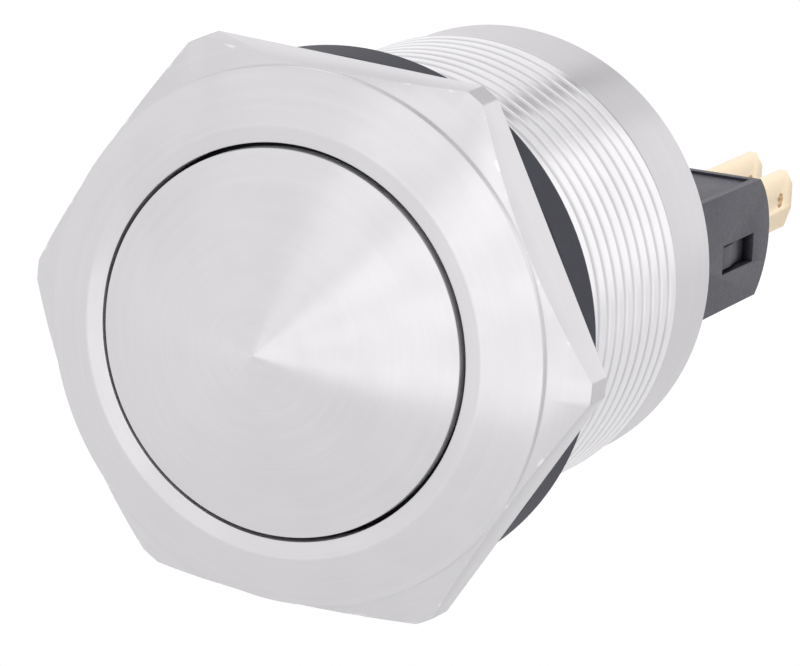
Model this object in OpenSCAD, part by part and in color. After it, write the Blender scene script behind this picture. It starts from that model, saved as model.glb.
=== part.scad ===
// Anti-vandal push button for a round panel hole: a steel hexagon head and
// threaded barrel in one piece, a domed steel button, a panel gasket, and a
// moulded snap switch on a carrier inside the barrel.
// Every piece is drawn standing, with the button up: z = 0 is the back of the
// head and +z is the front. lay() then turns the front to -Y, with +Z up, and
// puts the origin in the panel's plane, where the gasket bears.

/* [Head] */
// How far the hexagon's flats stand out past the thread
flat_stand = 3; // [2:0.25:5]
// Thickness of the head at the middle of a flat
head_t = 5; // [4.4:0.1:7]
// Angle at which the six corners fall away
corner_fall = 35; // [20:1:40]
// How far each corner is blunted
corner_blunt = 0.45; // [0.2:0.05:1]
// Distance of the round step inside the flats
step_in = 0.1; // [0.05:0.05:0.5]
// Height of the round step
step_h = 0.7; // [0.3:0.1:1.2]
// Height of the bezel cone above the step
bezel_h = 2.4; // [1.5:0.1:3.5]
// Width of the flat ring round the button
lip_w = 1.5; // [1:0.1:2.5]
// How far the flat ring dips to the button
lip_dish = 0.15; // [0.05:0.05:0.4]
// Broken edge on the turned corners
edge_break = 0.15; // [0.05:0.05:0.25]

/* [Barrel] */
// Diameter over the thread crests
thread_d = 40; // [39:0.5:41]
// Distance from the back of the head to the end of the thread
thread_end = 27.2; // [24:0.1:30]
// Width of the groove where the thread runs out
runout_w = 0.4; // [0.3:0.1:1]
// Depth of the grooves at both ends of the thread
runout_depth = 0.8; // [0.5:0.1:0.9]
// How far the plain collar behind the thread lies below its crests
collar_drop = 0.4; // [0.1:0.1:0.7]
// Length of the barrel behind the head
barrel_len = 35.4; // [33:0.1:40]
// Chamfer on the rear rim
rim_chamfer = 0.7; // [0.3:0.1:0.9]
// Wall between the thread's crests and the carrier's bore
wall_t = 2.1; // [1.9:0.05:2.3]
// Step from the carrier's bore in to the spring's bore
bore_step = 0.5; // [0.3:0.05:0.7]
// Distance from the back of the head to the bush's seat, forwards
bush_seat = 3; // [2:0.1:3.2]
// Distance from the back of the head to the carrier's seat, rearwards
carrier_seat = 13; // [12:0.1:16]

/* [Gasket] */
// Thickness of the panel gasket
gasket_t = 4.5; // [2:0.1:6]
// Room between the gasket's hole and the thread's crests
gasket_gap = 0.1; // [0.05:0.05:0.3]

/* [Button] */
// Gap between the button and the bezel
button_gap = 0.4; // [0.3:0.05:0.6]
// Rise of the dome from its rim to its point
dome_rise = 5; // [3:0.1:7]
// Slope of the dome at its point
apex_slope = 10; // [4:1:12]
// How far the button's rim stands in front of the flat ring
rim_stand = 0.25; // [0:0.05:0.6]
// Wall of the button's skirt
skirt_wall = 2.3; // [2:0.1:3]
// Thickness of the button's roof
roof_t = 2.2; // [1.6:0.1:3]
// Radius of the post under the roof
post_r = 4; // [3.5:0.1:5]
// Width of the stop flange
flange_w = 0.7; // [0.4:0.05:0.8]
// Thickness of the stop flange
flange_t = 1.9; // [1.2:0.1:2.5]

/* [Seals and bush] */
// Section diameter of both ring seals
seal_section = 1.3; // [1:0.1:1.6]
// Depth from the button's rim to the middle of its seal
seal_drop = 1.8; // [1.6:0.1:2.2]
// Gap between a ring seal and the bore it runs in
seal_gap = 0.1; // [0.05:0.05:0.2]
// Wall of the guide bush
bush_wall = 0.79; // [0.6:0.01:1]
// Length of the guide bush
bush_len = 8; // [5:0.5:9]
// Running clearance between the bush and the button
bush_run = 0.06; // [0.03:0.01:0.1]
// Fitting clearance between seated pieces
fit_gap = 0.05; // [0.03:0.01:0.08]

/* [Rod and spring] */
// Radius of the push rod
rod_r = 3; // [2.5:0.1:3.5]
// Gap between the rod's head, which holds the spring, and the button's skirt
rod_head_gap = 2.2; // [1.2:0.1:3.2]
// Thickness of the rod's head
rod_head_t = 1.8; // [1.2:0.1:2.5]
// Length of the rod's spigot in the button's post
spigot_len = 2.6; // [1.5:0.1:3]
// Radius of the spigot
spigot_r = 2.2; // [1.8:0.1:2.6]
// Running clearance round the rod
rod_run = 0.08; // [0.05:0.01:0.1]
// Length of the post below the rim of the button
post_drop = 1.6; // [1:0.1:2.5]
// Wire diameter of the return spring
wire_d = 1.2; // [0.8:0.1:1.4]
// Distance from the edge of the rod's head in to the spring's wire
spring_in = 2.6; // [1.6:0.1:3]
// Working turns of the return spring
spring_turns = 5; // [4:1:6]

/* [Carrier] */
// Thickness of the carrier's round base
base_t = 3; // [2.6:0.1:4]
// Height of the spigot that centres the spring
seat_h = 1.6; // [1:0.1:2.5]
// Thickness of the retaining ring
clip_t = 1.2; // [0.8:0.1:1.5]
// How deep the retaining ring sits in the barrel
clip_bite = 0.5; // [0.3:0.05:0.6]
// Radial width of the retaining ring
clip_w = 2.6; // [2:0.1:3]
// Room between the retaining ring and the carrier's neck
neck_in = 1.4; // [1:0.1:3]
// Distance from the carrier's base to the switch case
neck_len = 6; // [5:0.1:9]
// Thickness of the carrier's two snap arms
arm_t = 1; // [0.8:0.05:1.1]
// Width of the snap arms
arm_w = 4.6; // [4:0.1:5]
// Play of the snap arms in their channels
arm_play = 0.2; // [0.1:0.05:0.3]
// Length of the hook's flat land
hook_land = 2; // [1:0.1:3]
// Distance from the rear of the latch window to the foot of the hook's ramp
hook_foot = 1; // [0.5:0.1:1.5]
// Gap round the hook in its window
hook_gap = 0.25; // [0.15:0.05:0.4]
// Turn of the switch against the hexagon
module_turn = 3; // [-15:1:15]

/* [Switch] */
// Gap between the corners of the switch case and the barrel's bore
case_gap = 0.3; // [0.2:0.05:0.5]
// Thickness of the switch case at its front
case_front_t = 11; // [10.6:0.1:11.2]
// Thickness of the switch case at its rear corners
case_rear_t = 10.5; // [10.2:0.1:10.8]
// Length of the switch case to its rear corners
case_len = 29.5; // [28.5:0.1:32]
// Bow of the case's rear face
case_bow = 2.5; // [1.5:0.1:3]
// Thickness of the end walls' outer skin
skin_t = 0.9; // [0.7:0.05:1]
// Wall between a snap arm and the switch's inside
inner_wall = 0.7; // [0.5:0.05:1]
// Thickness of the case's front wall and floor
case_wall = 1.8; // [1.4:0.1:2.2]
// Distance from the rear corners to the switch's inside
rear_wall = 2.6; // [2:0.1:3.5]
// Thickness of the cover
cover_t = 1; // [0.8:0.1:1.2]
// Depth of the cover below the case's face
cover_sink = 0.2; // [0.1:0.05:0.4]
// Rim of the case left round the cover
cover_rim = 0.8; // [0.6:0.1:1.2]
// Length of the latch window
window_len = 6.5; // [5:0.1:8]
// Height of the latch window
window_h = 2.6; // [2:0.1:4]
// Distance of the latch window from the rear corners
window_back = 0.9; // [0.5:0.1:3]
// Height of the latch window's middle
window_y = -0.75; // [-1.2:0.05:0]

/* [Terminals] */
// Width of the terminal tabs
tab_w = 5.2; // [4.8:0.1:5.6]
// Thickness of the terminal strip
tab_t = 0.8; // [0.5:0.1:0.8]
// Height of the tabs' middle
tab_y = 0.2; // [-0.2:0.1:0.3]
// Length of the two outer tabs behind the case's rear corners
tab_len = 16; // [12:0.5:20]
// How much further the inner tab reaches
tab_stagger = 5; // [0:0.5:6]
// Distance of the outer tabs from the ends of the case
tab_in = 4.1; // [4:0.05:4.3]
// Distance of the inner tab from the outer one beside it
tab_step = 5.2; // [4.1:0.1:6.6]
// Chamfer on the tabs' ends
tab_chamfer = 1.5; // [0.5:0.1:1.8]
// Diameter of the hole in a tab
tab_hole_d = 1.3; // [1:0.1:1.8]
// Distance of the hole from the tab's end
tab_hole_in = 2.6; // [2:0.1:4]

/* [Switch works] */
// Radius of the switch plunger
pin_r = 1.5; // [1.2:0.1:1.6]
// How far the switch plunger stands out of the case
pin_out = 2.4; // [2.3:0.1:3.5]
// Distance from the inside of the front wall to the blade
blade_drop = 6; // [5.5:0.1:7]
// Thickness of the blade
blade_t = 0.3; // [0.2:0.05:0.4]
// Width of the blade
blade_w = 4.4; // [3.5:0.1:5]
// Distance of the contacts from the end of the case
contact_in = 7.3; // [6.9:0.1:7.7]
// Radius of the contacts
contact_r = 1.5; // [1.2:0.1:1.6]
// Thickness of a contact's head
contact_t = 0.6; // [0.4:0.05:0.8]
// Travel of the moving contact
contact_gap = 0.6; // [0.4:0.05:0.9]
// Distance of the blade's rivet from its terminal's tab
rivet_in = 3; // [2.8:0.1:3.4]
// Thickness of the rivet's heads
rivet_t = 0.5; // [0.4:0.05:0.7]
// How far a terminal's shelf reaches past the middle of its contact
shelf_reach = 2; // [1.8:0.1:2.4]
// Width of the blade's rails beside its tongue
rail_w = 0.7; // [0.5:0.05:0.9]
// Width of the cut round the blade's tongue
tongue_cut = 0.6; // [0.4:0.05:0.7]
// How far the plunger's collar stands out round it
pin_collar_w = 0.9; // [0.6:0.1:1.2]
// Thickness of the plunger's collar
pin_collar_t = 1.1; // [0.8:0.1:1.5]
// Radius of the cover screws' shanks
screw_r = 1; // [0.8:0.05:1.1]
// How far a screw's head stands out round its shank
screw_head_w = 0.9; // [0.6:0.1:1.1]
// Length of a screw's shank below the cover
screw_grip = 5; // [3:0.5:5.5]
// Wall round a screw's hole in the case
boss_wall = 1.1; // [0.8:0.1:1.4]
// Distance of the front screw from the inside of the front wall
front_screw_in = 2.3; // [2.2:0.1:3]
// Distance of the rear screw from the case's rear corners
rear_screw_in = 8; // [6:0.5:10]

/* [Hidden] */
$fn = 96;
eps = 0.01;
over = 1;
air = 0.05;

// Head and bores
thread_r = thread_d / 2;
flat_r = thread_r + flat_stand;
hex_r = flat_r / cos(30);
corner_r = hex_r - corner_blunt;
step_r = flat_r - step_in;
corner_z = head_t - (corner_r - step_r) * tan(corner_fall);
step_z = head_t + step_h;
crest_z = step_z + bezel_h;
lip_z = crest_z - lip_dish;
rear_r = thread_r - wall_t;
main_r = rear_r - bore_step;
cap_r = main_r - fit_gap - bush_wall - bush_run;
bore_r = cap_r + button_gap;
crest_r = bore_r + lip_w;
relief_r = thread_r - runout_depth;
relief_len = gasket_t;
rear_collar_r = thread_r - collar_drop;
clip_z = -carrier_seat - base_t;

// Button
rim_z = lip_z + rim_stand;
apex_z = rim_z + dome_rise;
skirt_r = cap_r - skirt_wall;
flange_z = bush_seat - bush_len - air;
skirt_end = flange_z - flange_t;
seal_z = rim_z - seal_drop;
groove_r = bore_r - seal_gap - seal_section - air;
post_z = rim_z - post_drop;
dome_chord = atan(dome_rise / cap_r);
dome_sweep = 2 * (dome_chord - apex_slope);
dome_r = sqrt(dome_rise * dome_rise + cap_r * cap_r) / 2 / sin(dome_sweep / 2);
dome_steps = 18;

// Rod, spring and carrier
case_z = clip_z - neck_len;
pin_top = case_z + pin_out;
rod_end = pin_top + air;
rod_head_z = post_z - rod_head_t;
rod_head_r = skirt_r - rod_head_gap;
rod_hole_r = rod_r + rod_run;
spring_front = rod_head_z - air;
spring_rear = -carrier_seat + air;
spring_r = rod_head_r - spring_in;
wire_r = wire_d / 2;
seat_r = spring_r - 1.5 * wire_r;
base_r = rear_r - fit_gap;
base_groove_r = rear_r - seal_gap - seal_section - air;
seal_ring_r = seal_section / 2;
clip_r = rear_r + clip_bite;

// Switch case: z of its faces, and x of what lies in its end walls
rear_z = case_z - case_len;
case_x = sqrt((rear_r - case_gap) * (rear_r - case_gap) - case_front_t * case_front_t / 4);
slot_out = case_x - skin_t;
slot_in = slot_out - arm_t - 2 * fit_gap - arm_play / 2;
room_x = slot_in - inner_wall;
room_front = case_z - case_wall;
room_rear = rear_z + rear_wall;
arm_out = slot_out - fit_gap;
arm_in = arm_out - arm_t;
arm_end = rear_z + 3 * arm_play;
window_rear = rear_z + window_back;
rear_y = case_rear_t / 2;
cover_top = rear_y - cover_sink;
room_y = cover_top - cover_t;
floor_y = -rear_y + case_wall;
outer_tab_x = case_x - tab_in;
inner_tab_x = outer_tab_x - tab_step;
contact_x = case_x - contact_in;

// Switch works
blade_z = room_front - blade_drop;
closed_z = blade_z + contact_t + air;
open_z = blade_z - blade_t - contact_t - contact_gap - air;
pin_tip = blade_z + air;
anchor_x = -outer_tab_x + rivet_in;
outer_tip = rear_z - tab_len;
inner_tip = outer_tip - tab_stagger;
// x and z of the two cover screws
screws = [[-case_x * 0.45, room_front - front_screw_in], [-case_x * 0.12, rear_z + rear_screw_in]];
screw_boss = screw_r + boss_wall;
screw_head_r = screw_r + screw_head_w;
screw_head_t = cover_t * 0.7;
screw_depth = cover_t + screw_grip;

// Points of a circular arc
function arc(x, y, r, a0, a1, n) = [for (i = [0:n]) [x + r * cos(a0 + (a1 - a0) * i / n), y + r * sin(a0 + (a1 - a0) * i / n)]];

// The dome's line from its point to its rim, lowered by drop and cut at radius r
function dome(r, drop) =
    let (a0 = 90 - apex_slope, cx = -dome_r * cos(a0), cy = apex_z - drop - dome_r * sin(a0), a1 = acos((r - cx) / dome_r))
    arc(cx, cy, dome_r, a0, a1, dome_steps);

module lay() {
    translate([0, -gasket_t, 0]) rotate([90, 0, 0]) children();
}

module turned() {
    lay() rotate([0, 0, module_turn]) children();
}

// A strip of metal w wide along y, t thick, between two points in the xz plane
module strip(x0, x1, z0, z1, w) {
    translate([min(x0, x1), tab_y - w / 2, min(z0, z1)]) cube([abs(x1 - x0), w, abs(z1 - z0)]);
}

// A disc or rod along z between two heights
module disc(r, z0, z1) {
    translate([0, 0, min(z0, z1)]) cylinder(r = r, h = abs(z1 - z0));
}

module ring_seal(r, z) {
    translate([0, 0, z]) rotate_extrude() translate([r, 0]) circle(r = seal_ring_r, $fn = 32);
}

// Head: a hexagon cut by the turned corner cone, step, bezel and flat ring
module head() {
    intersection() {
        linear_extrude(height = crest_z) circle(r = hex_r, $fn = 6);
        rotate_extrude() polygon([
            [0, 0], [corner_r, 0], [corner_r, corner_z], [step_r, head_t],
            [step_r, step_z - edge_break], [step_r - edge_break, step_z],
            [crest_r + edge_break, crest_z - edge_break * bezel_h / (step_r - crest_r)],
            [crest_r, crest_z], [bore_r, lip_z], [0, lip_z]
        ]);
    }
}

module barrel() {
    rotate_extrude() polygon([
        [0, eps], [relief_r, eps], [relief_r, -relief_len], [thread_r, -relief_len], [thread_r, -thread_end],
        [thread_r - runout_depth, -thread_end], [thread_r - runout_depth, -thread_end - runout_w],
        [rear_collar_r, -thread_end - runout_w], [rear_collar_r, -barrel_len + rim_chamfer],
        [rear_collar_r - rim_chamfer, -barrel_len], [0, -barrel_len]
    ]);
}

module housing() {
    color("silver") lay() difference() {
        union() {
            head();
            barrel();
        }
        disc(bore_r, bush_seat - over, crest_z + over);
        disc(main_r, bush_seat, -carrier_seat - over);
        disc(rear_r, -carrier_seat, -barrel_len - over);
        disc(clip_r, clip_z, clip_z - clip_t - air);
    }
}

module panel_gasket() {
    color("dimgray") lay() difference() {
        disc(flat_r, 0, -gasket_t);
        disc(thread_r + gasket_gap, over, -gasket_t - over);
    }
}

// Button: a pointed dome on a skirt, with a seal groove, a stop flange and a
// post with a blind hole for the rod
module button_cap() {
    roof = dome(skirt_r, roof_t);
    color("gainsboro") lay() {
        difference() {
            rotate_extrude() polygon(concat(
                dome(cap_r, 0),
                [[cap_r, flange_z], [cap_r + flange_w, flange_z], [cap_r + flange_w, skirt_end], [skirt_r, skirt_end]],
                [for (i = [dome_steps:-1:0]) roof[i]]
            ));
            rotate_extrude() translate([groove_r, seal_z - seal_ring_r - air])
                square([cap_r - groove_r + over, seal_section + 2 * air]);
        }
        difference() {
            disc(post_r, post_z, apex_z - roof_t - (apex_z - roof_t - post_z) * 0.05);
            disc(spigot_r + fit_gap, post_z - over, post_z + spigot_len + air);
        }
    }
}

module cap_seal() {
    color("black") lay() ring_seal(bore_r - seal_gap - seal_ring_r, seal_z);
}

module guide_bush() {
    color("whitesmoke") lay() difference() {
        disc(main_r - fit_gap, bush_seat, bush_seat - bush_len);
        disc(cap_r + bush_run, bush_seat + over, bush_seat - bush_len - over);
    }
}

// Return spring: a round wire on a helix, with half a turn laid flat at each end
module return_spring() {
    sides = 8;
    per_turn = 24;
    flat = 0.6;
    turns = spring_turns + 2 * flat;
    n = round(turns * per_turn);
    z0 = spring_rear + wire_r;
    z1 = spring_front - wire_r;
    lead = wire_d * 1.04 * flat;
    function height(t) =
        t < flat ? z0 + lead * t / flat :
        t > turns - flat ? z1 - lead * (turns - t) / flat :
        z0 + lead + (z1 - z0 - 2 * lead) * (t - flat) / spring_turns;
    points = [for (i = [0:n]) let (t = i / per_turn) for (k = [0:sides - 1])
        let (a = 360 * k / sides, r = spring_r + wire_r * cos(a))
        [r * cos(360 * t), r * sin(360 * t), height(t) + wire_r * sin(a)]];
    skin = [for (i = [0:n - 1]) for (k = [0:sides - 1]) let (m = (k + 1) % sides)
        [i * sides + k, (i + 1) * sides + k, (i + 1) * sides + m, i * sides + m]];
    ends = [[for (k = [0:sides - 1]) k], [for (k = [sides - 1:-1:0]) n * sides + k]];
    color("lightgray") lay() polyhedron(points, concat(skin, ends), convexity = 8);
}

// Push rod: a spigot for the button's post, a head for the spring and a stem
module push_rod() {
    color("ivory") lay() {
        disc(spigot_r, post_z - eps, post_z + spigot_len);
        disc(rod_head_r, post_z, rod_head_z);
        disc(rod_r, rod_head_z + eps, rod_end);
    }
}

// Switch carrier: a round base with a seal groove, a spring spigot, a neck and
// two snap arms that run down inside the switch's end walls
module switch_carrier() {
    narrow = clip_r - clip_w - neck_in;
    neck_y = rear_y - skin_t / 2;
    shoulder_z = clip_z - 2 * clip_t;
    color("#3c3c44") turned() difference() {
        union() {
            disc(base_r, -carrier_seat, clip_z);
            disc(seat_r, -carrier_seat - eps, -carrier_seat + seat_h);
            translate([-narrow, -neck_y, shoulder_z - eps]) cube([2 * narrow, 2 * neck_y, clip_z - shoulder_z + 2 * eps]);
            translate([-arm_out, -neck_y, case_z]) cube([2 * arm_out, 2 * neck_y, shoulder_z - case_z]);
            for (side = [0, 1]) mirror([side, 0, 0]) snap_arm();
        }
        disc(rod_hole_r, -carrier_seat + seat_h + over, case_z - over);
        translate([0, 0, -carrier_seat - base_t / 2]) rotate_extrude()
            translate([base_groove_r, -seal_ring_r - air]) square([base_r - base_groove_r + over, seal_section + 2 * air]);
    }
}

// One snap arm with its ramped hook, which stands in the latch window
module snap_arm() {
    hook_h = window_h - 2 * hook_gap;
    hook_x = case_x - hook_gap;
    hook_end = window_rear + window_len - hook_gap;
    foot = window_rear + hook_foot;
    translate([arm_in, window_y - arm_w / 2, arm_end]) cube([arm_t, arm_w, case_z - arm_end + eps]);
    translate([0, window_y + hook_h / 2, 0]) rotate([90, 0, 0]) linear_extrude(height = hook_h)
        polygon([
            [arm_out - eps, hook_end], [hook_x, hook_end], [hook_x, hook_end - hook_land],
            [arm_out, foot], [arm_out - eps, foot]
        ]);
}

module carrier_seal() {
    color("black") lay() ring_seal(rear_r - seal_gap - seal_ring_r, -carrier_seat - base_t / 2);
}

// Retaining ring: an open spring ring with two eyes
module retaining_ring() {
    outer = clip_r - fit_gap;
    eye_r = clip_w * 0.6;
    eye_at = outer - eye_r - clip_bite;
    half_gap = 26;
    color("slategray") lay() translate([0, 0, clip_z - clip_t]) linear_extrude(height = clip_t) difference() {
        union() {
            difference() {
                circle(r = outer);
                circle(r = outer - clip_w);
                polygon([[0, 0], [-2 * outer * tan(half_gap), -2 * outer], [2 * outer * tan(half_gap), -2 * outer]]);
            }
            for (side = [-1, 1]) rotate(-90 + side * (half_gap + 2)) translate([eye_at, 0]) circle(r = eye_r);
        }
        for (side = [-1, 1]) rotate(-90 + side * (half_gap + 2)) translate([eye_at, 0]) circle(r = eye_r / 2);
    }
}

// The switch's outer block: drafted faces and a bowed rear, drawn in the yz plane
module case_block() {
    front_y = case_front_t / 2;
    bow_r = (rear_y * rear_y + case_bow * case_bow) / 2 / case_bow;
    bow_a = asin(rear_y / bow_r);
    translate([-case_x, 0, 0]) rotate([90, 0, 90]) linear_extrude(height = 2 * case_x)
        polygon(concat([[front_y, case_z], [-front_y, case_z]], arc(0, rear_z - case_bow + bow_r, bow_r, -90 - bow_a, -90 + bow_a, 24)));
}

// Switch case: open at the cover's side, with arm channels in its end walls
module switch_case() {
    color("#44444c") turned() difference() {
        case_block();
        difference() {
            translate([-room_x, floor_y, room_rear]) cube([2 * room_x, case_front_t, room_front - room_rear]);
            for (s = screws) translate([s[0], floor_y - eps, s[1]]) rotate([-90, 0, 0])
                cylinder(r = screw_boss, h = room_y - floor_y - air);
        }
        translate([-case_x + cover_rim - air, room_y - air, rear_z + cover_rim])
            cube([2 * (case_x - cover_rim + air), case_front_t, case_len - 2 * cover_rim]);
        for (s = screws) translate([s[0], floor_y + 1, s[1]]) rotate([-90, 0, 0])
            cylinder(r = screw_r + fit_gap, h = case_front_t);
        for (side = [0, 1]) mirror([side, 0, 0]) {
            translate([slot_in, window_y - arm_w / 2 - arm_play, arm_end - arm_play])
                cube([slot_out - slot_in, arm_w + 2 * arm_play, case_z - arm_end + over]);
            translate([slot_out - eps, window_y - window_h / 2, window_rear]) cube([skin_t + over, window_h, window_len]);
        }
        disc(pin_r + rod_run, room_front - over, case_z + over);
        for (x = [-outer_tab_x, outer_tab_x, inner_tab_x])
            strip(x - tab_t / 2 - fit_gap, x + tab_t / 2 + fit_gap, room_rear + over, rear_z - case_bow - over, tab_w + 2 * fit_gap);
    }
}

module switch_cover() {
    color("#4a4a52") turned() difference() {
        translate([-case_x + cover_rim, room_y, rear_z + cover_rim + air])
            cube([2 * (case_x - cover_rim), cover_t, case_len - 2 * cover_rim - 2 * air]);
        for (s = screws) translate([s[0], 0, s[1]]) rotate([-90, 0, 0]) {
            cylinder(r = screw_r + fit_gap, h = case_front_t);
            translate([0, 0, cover_top - screw_head_t]) cylinder(r = screw_head_r + fit_gap, h = case_front_t);
        }
    }
}

module cover_screws() {
    color("lightgray") turned() for (s = screws) translate([s[0], 0, s[1]]) rotate([-90, 0, 0]) {
        translate([0, 0, cover_top - screw_head_t]) cylinder(r = screw_head_r, h = screw_head_t);
        translate([0, 0, cover_top - screw_depth]) cylinder(r = screw_r, h = screw_depth - screw_head_t + eps);
    }
}

module switch_plunger() {
    color("firebrick") turned() {
        disc(pin_r, pin_top, pin_tip);
        disc(pin_r + pin_collar_w, room_front - air, room_front - air - pin_collar_t);
    }
}

// Blade: a stamped strip from its anchor to the moving contact, with a spring
// tongue cut out of its middle
module moving_blade() {
    x0 = -outer_tab_x + tab_t / 2;
    x1 = contact_x + shelf_reach;
    color("goldenrod") turned() difference() {
        strip(x0, x1, blade_z - blade_t, blade_z, blade_w);
        difference() {
            strip(anchor_x + shelf_reach, contact_x - 2 * contact_r,
                blade_z - blade_t - over, blade_z + over, blade_w - 2 * rail_w);
            strip(anchor_x + 2 * contact_r, contact_x - shelf_reach,
                blade_z - 2 * over, blade_z + 2 * over, blade_w - 2 * (rail_w + tongue_cut));
        }
        translate([contact_x, tab_y, 0]) disc(contact_r / 2 + fit_gap, blade_z - over, blade_z + over);
        translate([anchor_x, tab_y, 0]) disc(contact_r / 2 + fit_gap, blade_z - over, blade_z + over);
    }
}

module moving_contact() {
    color("lightsteelblue") turned() translate([contact_x, tab_y, 0]) {
        disc(contact_r, blade_z, blade_z + contact_t);
        disc(contact_r / 2, blade_z + eps, blade_z - blade_t - eps);
        disc(contact_r, blade_z - blade_t, blade_z - blade_t - contact_t);
    }
}

module blade_rivet() {
    color("peru") turned() translate([anchor_x, tab_y, 0]) {
        disc(contact_r, blade_z, blade_z + rivet_t);
        disc(contact_r / 2, blade_z + eps, blade_z - blade_t - tab_t - eps);
        disc(contact_r, blade_z - blade_t - tab_t, blade_z - blade_t - tab_t - rivet_t);
    }
}

// The flat blade of a terminal from z0 to its chamfered tip, with its hole
module tab(x, z0, tip) {
    half = tab_w / 2;
    translate([x - tab_t / 2, tab_y, 0]) difference() {
        rotate([90, 0, 90]) linear_extrude(height = tab_t) polygon([
            [half, z0], [-half, z0], [-half, tip + tab_chamfer], [-half + tab_chamfer, tip],
            [half - tab_chamfer, tip], [half, tip + tab_chamfer]
        ]);
        translate([-over, 0, tip + tab_hole_in]) rotate([0, 90, 0]) cylinder(d = tab_hole_d, h = tab_t + 2 * over);
    }
}

// Common terminal: its inner end is bent over as a shelf for the blade
module common_terminal() {
    top = blade_z - blade_t;
    color("khaki") turned() {
        tab(-outer_tab_x, top, outer_tip);
        difference() {
            strip(-outer_tab_x, anchor_x + shelf_reach, top - tab_t, top, tab_w);
            translate([anchor_x, tab_y, 0]) disc(contact_r / 2 + fit_gap, top - over - tab_t, top + over);
        }
    }
}

// Normally closed terminal: bent over in front of the moving contact
module closed_terminal() {
    rear = closed_z + contact_t;
    color("khaki") turned() {
        tab(outer_tab_x, rear + tab_t, outer_tip);
        difference() {
            strip(contact_x - shelf_reach, outer_tab_x, rear, rear + tab_t, tab_w);
            translate([contact_x, tab_y, 0]) disc(contact_r / 2 + fit_gap, rear - over, rear + tab_t + over);
        }
    }
}

module closed_contact() {
    color("lightsteelblue") turned() translate([contact_x, tab_y, 0]) {
        disc(contact_r, closed_z, closed_z + contact_t);
        disc(contact_r / 2, closed_z + eps, closed_z + contact_t + tab_t);
    }
}

// Normally open terminal: bent over behind the moving contact
module open_terminal() {
    front = open_z - contact_t;
    color("khaki") turned() {
        tab(inner_tab_x, front, inner_tip);
        difference() {
            strip(inner_tab_x, contact_x + shelf_reach, front - tab_t, front, tab_w);
            translate([contact_x, tab_y, 0]) disc(contact_r / 2 + fit_gap, front - over - tab_t, front + over);
        }
    }
}

module open_contact() {
    color("lightsteelblue") turned() translate([contact_x, tab_y, 0]) {
        disc(contact_r, open_z, open_z - contact_t);
        disc(contact_r / 2, open_z - eps, open_z - contact_t - tab_t);
    }
}

housing();
panel_gasket();
button_cap();
cap_seal();
guide_bush();
return_spring();
push_rod();
switch_carrier();
carrier_seal();
retaining_ring();
switch_case();
switch_cover();
cover_screws();
switch_plunger();
moving_blade();
moving_contact();
blade_rivet();
common_terminal();
closed_terminal();
open_terminal();
closed_contact();
open_contact();
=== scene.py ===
import math

import bpy
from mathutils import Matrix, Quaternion, Vector


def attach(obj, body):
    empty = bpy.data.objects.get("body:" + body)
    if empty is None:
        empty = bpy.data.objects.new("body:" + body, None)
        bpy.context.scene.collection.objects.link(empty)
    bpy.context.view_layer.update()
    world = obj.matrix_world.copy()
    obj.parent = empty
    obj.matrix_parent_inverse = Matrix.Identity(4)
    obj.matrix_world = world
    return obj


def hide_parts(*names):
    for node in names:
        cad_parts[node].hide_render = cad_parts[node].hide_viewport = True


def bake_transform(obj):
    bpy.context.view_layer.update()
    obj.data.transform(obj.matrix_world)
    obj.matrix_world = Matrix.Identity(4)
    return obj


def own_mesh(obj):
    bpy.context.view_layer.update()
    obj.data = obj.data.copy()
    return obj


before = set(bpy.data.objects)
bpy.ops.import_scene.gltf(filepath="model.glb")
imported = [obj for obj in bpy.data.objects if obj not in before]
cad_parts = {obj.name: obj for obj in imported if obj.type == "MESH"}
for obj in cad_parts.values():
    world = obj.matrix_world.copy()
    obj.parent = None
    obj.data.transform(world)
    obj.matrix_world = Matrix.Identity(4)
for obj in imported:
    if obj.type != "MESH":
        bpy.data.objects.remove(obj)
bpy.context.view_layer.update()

# Housing: the hexagonal head and threaded barrel, turned from one stainless bar.
# The bar's six flats are left on the head; the face, the step and the collar are
# turned, and the thread is cut between two narrow grooves.
MM = 0.001
HEAD_BACK = -4.5
FLAT_R = 23.0
CORNER_R = 26.11
CORNER_Y = -7.25
HEAD_FACE = -9.5
STEP_R = 22.9
STEP_FACE = -10.2
CREST_R = 18.4
CREST_Y = -12.6
LIP_Y = -12.45
BORE_R = 16.9
THREAD_R = 20.0
ROOT_R = 19.45
RELIEF_R = 19.2
THREAD_END = 22.7
GROOVE_END = 23.1
COLLAR_R = 19.6
REAR_Y = 30.9
CLIP_R = 18.4
MAIN_R = 17.4
CARRIER_R = 17.9
BUSH_SEAT = -7.5
CARRIER_SEAT = 8.5
CLIP_FRONT = 11.5
CLIP_BACK = 12.75
PITCH = 1.75
BREAK = 0.1
FLAT_BREAK = 0.12
FLAT_NEAR = 0.02


def deselect():
    """Clears the selection, so that the next operator acts on one piece alone."""
    bpy.ops.object.select_all(action="DESELECT")


def eased(corners, ease):
    """Breaks each corner of a turned outline, with a close row on both sides to hold the faces flat."""
    rows = [corners[0]]
    for before, corner, after in zip(corners, corners[1:], corners[2:]):
        here = Vector(corner)
        back = Vector(before) - here
        ahead = Vector(after) - here
        cut = min(ease, back.length / 3.5, ahead.length / 3.5)
        start = here + back.normalized() * cut
        end = here + ahead.normalized() * cut
        rows.append(tuple(here + back.normalized() * cut * 1.4))
        rows.append(tuple(start))
        rows.append(tuple(start / 4 + here / 2 + end / 4))
        rows.append(tuple(end))
        rows.append(tuple(here + ahead.normalized() * cut * 1.4))
    return rows + [corners[-1]]


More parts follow.
